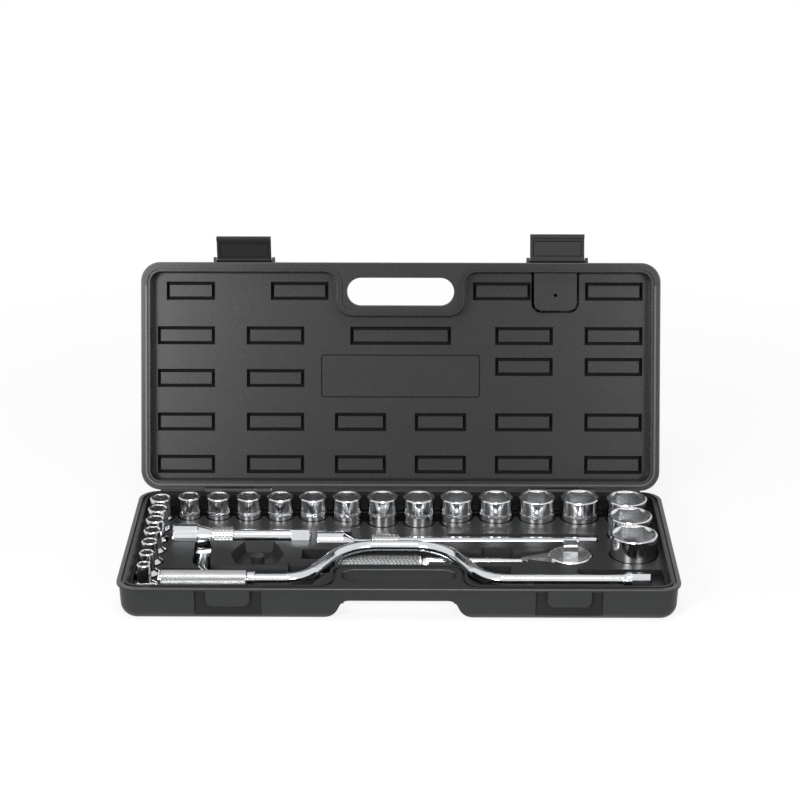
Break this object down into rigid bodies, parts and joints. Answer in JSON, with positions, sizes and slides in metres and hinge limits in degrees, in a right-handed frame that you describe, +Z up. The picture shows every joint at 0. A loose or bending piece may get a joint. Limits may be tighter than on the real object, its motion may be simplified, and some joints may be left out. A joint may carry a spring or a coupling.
{
  "type": "socket wrench set in case",
  "caption": "Open moulded carry case holding chromed sockets, extension bars, a bent bar, a speed brace and a reversible ratchet, with a hinged lid and two latches.",
  "frame": {"origin": "centre of the flat face that the base stands on", "axes": "+X along the case towards the large sockets, -Y towards the hand hole and latches, +Z up"},
  "size_m": [0.48, 0.3028, 0.2568],
  "materials": {
    "chrome_plate": "bright polished chrome plate",
    "knurled_chrome": "diamond-knurled chrome plate",
    "bare_steel": "plain turned steel",
    "case_plastic": "fine-grained blow-moulded polyethylene",
    "black_lever": "smooth black lever"
  },
  "bodies": {
    "base": {"case_base": "case_plastic", "hinge_pins": "bare_steel"},
    "lid": {"case_lid": "case_plastic", "latch_pins": "bare_steel"},
    "latch_left": {"latch_left": "case_plastic"},
    "latch_right": {"latch_right": "case_plastic"},
    "socket_08": {"socket_08": "chrome_plate"},
    "socket_09": {"socket_09": "chrome_plate"},
    "socket_10": {"socket_10": "chrome_plate"},
    "socket_11": {"socket_11": "chrome_plate"},
    "socket_12": {"socket_12": "chrome_plate"},
    "socket_13": {"socket_13": "chrome_plate"},
    "socket_14": {"socket_14": "chrome_plate"},
    "socket_15": {"socket_15": "chrome_plate"},
    "socket_16": {"socket_16": "chrome_plate"},
    "socket_17": {"socket_17": "chrome_plate"},
    "socket_18": {"socket_18": "chrome_plate"},
    "socket_19": {"socket_19": "chrome_plate"},
    "socket_20": {"socket_20": "chrome_plate"},
    "socket_21": {"socket_21": "chrome_plate"},
    "socket_22": {"socket_22": "chrome_plate"},
    "socket_23": {"socket_23": "chrome_plate"},
    "socket_24": {"socket_24": "chrome_plate"},
    "socket_26": {"socket_26": "chrome_plate"},
    "socket_27": {"socket_27": "chrome_plate"},
    "socket_28": {"socket_28": "chrome_plate"},
    "socket_30": {"socket_30": "chrome_plate"},
    "socket_32": {"socket_32": "chrome_plate"},
    "extension_short": {"extension_short": "chrome_plate"},
    "extension_long": {"extension_long": "chrome_plate"},
    "bent_bar": {"bent_bar": "chrome_plate"},
    "brace": {"brace_crank": "chrome_plate", "brace_collar": "chrome_plate", "brace_end_cap": "chrome_plate"},
    "brace_grip": {"brace_grip": "knurled_chrome"},
    "ratchet": {"ratchet_body": "chrome_plate", "ratchet_cover": "chrome_plate", "ratchet_cover_screws": "bare_steel"},
    "ratchet_gear": {"ratchet_gear": "chrome_plate"},
    "ratchet_pawl": {"ratchet_pawl": "bare_steel"},
    "ratchet_selector": {"ratchet_selector": "black_lever"},
    "extension_short_ball": {"extension_short_ball": "bare_steel"},
    "extension_long_ball": {"extension_long_ball": "bare_steel"},
    "bent_bar_ball": {"bent_bar_ball": "bare_steel"},
    "brace_ball": {"brace_ball": "bare_steel"},
    "ratchet_ball": {"ratchet_ball": "bare_steel"}
  },
  "joints": [
    {"name": "lid_hinge", "type": "hinge", "parent": "base", "child": "lid", "pos_m": [0, 0.10639, 0.03162], "axis": [-1, 0, 0], "range_deg": [-108.8, 0]},
    {"name": "latch_left_turn", "type": "hinge", "parent": "lid", "child": "latch_left", "pos_m": [-0.1445, 0.1795, 0.23309], "axis": [-1, 0, 0], "range_deg": [-64, 26]},
    {"name": "latch_right_turn", "type": "hinge", "parent": "lid", "child": "latch_right", "pos_m": [0.1445, 0.1795, 0.23309], "axis": [-1, 0, 0], "range_deg": [-90, 0]},
    {"name": "socket_08_lift", "type": "slide", "parent": "base", "child": "socket_08", "axis": [0, 0, 1], "range_m": [0, 0.06]},
    {"name": "socket_09_lift", "type": "slide", "parent": "base", "child": "socket_09", "axis": [0, 0, 1], "range_m": [0, 0.06]},
    {"name": "socket_10_lift", "type": "slide", "parent": "base", "child": "socket_10", "axis": [0, 0, 1], "range_m": [0, 0.06]},
    {"name": "socket_11_lift", "type": "slide", "parent": "base", "child": "socket_11", "axis": [0, 0, 1], "range_m": [0, 0.06]},
    {"name": "socket_12_lift", "type": "slide", "parent": "base", "child": "socket_12", "axis": [0, 0, 1], "range_m": [0, 0.06]},
    {"name": "socket_13_lift", "type": "slide", "parent": "base", "child": "socket_13", "axis": [0, 0, 1], "range_m": [0, 0.06]},
    {"name": "socket_14_lift", "type": "slide", "parent": "base", "child": "socket_14", "axis": [0, 0, 1], "range_m": [0, 0.06]},
    {"name": "socket_15_lift", "type": "slide", "parent": "base", "child": "socket_15", "axis": [0, 0, 1], "range_m": [0, 0.06]},
    {"name": "socket_16_lift", "type": "slide", "parent": "base", "child": "socket_16", "axis": [0, 0, 1], "range_m": [0, 0.06]},
    {"name": "socket_17_lift", "type": "slide", "parent": "base", "child": "socket_17", "axis": [0, 0, 1], "range_m": [0, 0.06]},
    {"name": "socket_18_lift", "type": "slide", "parent": "base", "child": "socket_18", "axis": [0, 0, 1], "range_m": [0, 0.06]},
    {"name": "socket_19_lift", "type": "slide", "parent": "base", "child": "socket_19", "axis": [0, 0, 1], "range_m": [0, 0.06]},
    {"name": "socket_20_lift", "type": "slide", "parent": "base", "child": "socket_20", "axis": [0, 0, 1], "range_m": [0, 0.06]},
    {"name": "socket_21_lift", "type": "slide", "parent": "base", "child": "socket_21", "axis": [0, 0, 1], "range_m": [0, 0.06]},
    {"name": "socket_22_lift", "type": "slide", "parent": "base", "child": "socket_22", "axis": [0, 0, 1], "range_m": [0, 0.06]},
    {"name": "socket_23_lift", "type": "slide", "parent": "base", "child": "socket_23", "axis": [0, 0, 1], "range_m": [0, 0.06]},
    {"name": "socket_24_lift", "type": "slide", "parent": "base", "child": "socket_24", "axis": [0, 0, 1], "range_m": [0, 0.06]},
    {"name": "socket_26_lift", "type": "slide", "parent": "base", "child": "socket_26", "axis": [0, 0, 1], "range_m": [0, 0.06]},
    {"name": "socket_27_lift", "type": "slide", "parent": "base", "child": "socket_27", "axis": [0, 0, 1], "range_m": [0, 0.06]},
    {"name": "socket_28_lift", "type": "slide", "parent": "base", "child": "socket_28", "axis": [0, 0, 1], "range_m": [0, 0.06]},
    {"name": "socket_30_lift", "type": "slide", "parent": "base", "child": "socket_30", "axis": [0, 0, 1], "range_m": [0, 0.06]},
    {"name": "socket_32_lift", "type": "slide", "parent": "base", "child": "socket_32", "axis": [0, 0, 1], "range_m": [0, 0.06]},
    {"name": "extension_short_lift", "type": "slide", "parent": "base", "child": "extension_short", "axis": [0, 0, 1], "range_m": [0, 0.06]},
    {"name": "extension_long_lift", "type": "slide", "parent": "base", "child": "extension_long", "axis": [0, 0, 1], "range_m": [0, 0.06]},
    {"name": "brace_lift", "type": "slide", "parent": "base", "child": "brace", "axis": [0, 0, 1], "range_m": [0, 0.06]},
    {"name": "ratchet_lift", "type": "slide", "parent": "base", "child": "ratchet", "axis": [0, 0, 1], "range_m": [0, 0.03]},
    {"name": "bent_bar_lift", "type": "slide", "parent": "base", "child": "bent_bar", "axis": [0, 0, 1], "range_m": [0, 0.03]},
    {"name": "brace_grip_spin", "type": "hinge", "parent": "brace", "child": "brace_grip", "pos_m": [-0.1672, -0.07299, 0.026], "axis": [1, 0, 0], "continuous": true},
    {"name": "ratchet_drive_turn", "type": "hinge", "parent": "ratchet", "child": "ratchet_gear", "pos_m": [0.15055, -0.01179, 0.016], "axis": [0, 0, 1], "continuous": true},
    {"name": "ratchet_selector_turn", "type": "hinge", "parent": "ratchet", "child": "ratchet_selector", "pos_m": [0.13815, -0.01179, 0.0083], "axis": [0, 0, 1], "range_deg": [-20, 20]},
    {"name": "ratchet_pawl_turn", "type": "hinge", "parent": "ratchet", "child": "ratchet_pawl", "pos_m": [0.13815, -0.01179, 0.0165], "axis": [0, 0, 1], "range_deg": [-8.5, 8.5]},
    {"name": "extension_short_ball_press", "type": "slide", "parent": "extension_short", "child": "extension_short_ball", "axis": [0, -0.9511, 0.309], "range_m": [0, 0.0008], "stiffness_N_per_m": 400, "springref_m": -0.0005},
    {"name": "extension_long_ball_press", "type": "slide", "parent": "extension_long", "child": "extension_long_ball", "axis": [0, -0.9511, 0.309], "range_m": [0, 0.0008], "stiffness_N_per_m": 400, "springref_m": -0.0005},
    {"name": "bent_bar_ball_press", "type": "slide", "parent": "bent_bar", "child": "bent_bar_ball", "axis": [1, 0, 0], "range_m": [0, 0.0008], "stiffness_N_per_m": 400, "springref_m": -0.0005},
    {"name": "brace_ball_press", "type": "slide", "parent": "brace", "child": "brace_ball", "axis": [0, -0.9511, 0.309], "range_m": [0, 0.0008], "stiffness_N_per_m": 400, "springref_m": -0.0005},
    {"name": "ratchet_ball_press", "type": "slide", "parent": "ratchet_gear", "child": "ratchet_ball", "axis": [-1, 0, 0], "range_m": [0, 0.0008], "stiffness_N_per_m": 400, "springref_m": -0.0005}
  ],
  "couplings": [
    {"joint": "ratchet_lift", "follows": "brace_lift", "ratio": 0.5},
    {"joint": "bent_bar_lift", "follows": "brace_lift", "ratio": 0.5},
    {"joint": "ratchet_pawl_turn", "follows": "ratchet_selector_turn", "ratio": 0.425}
  ]
}
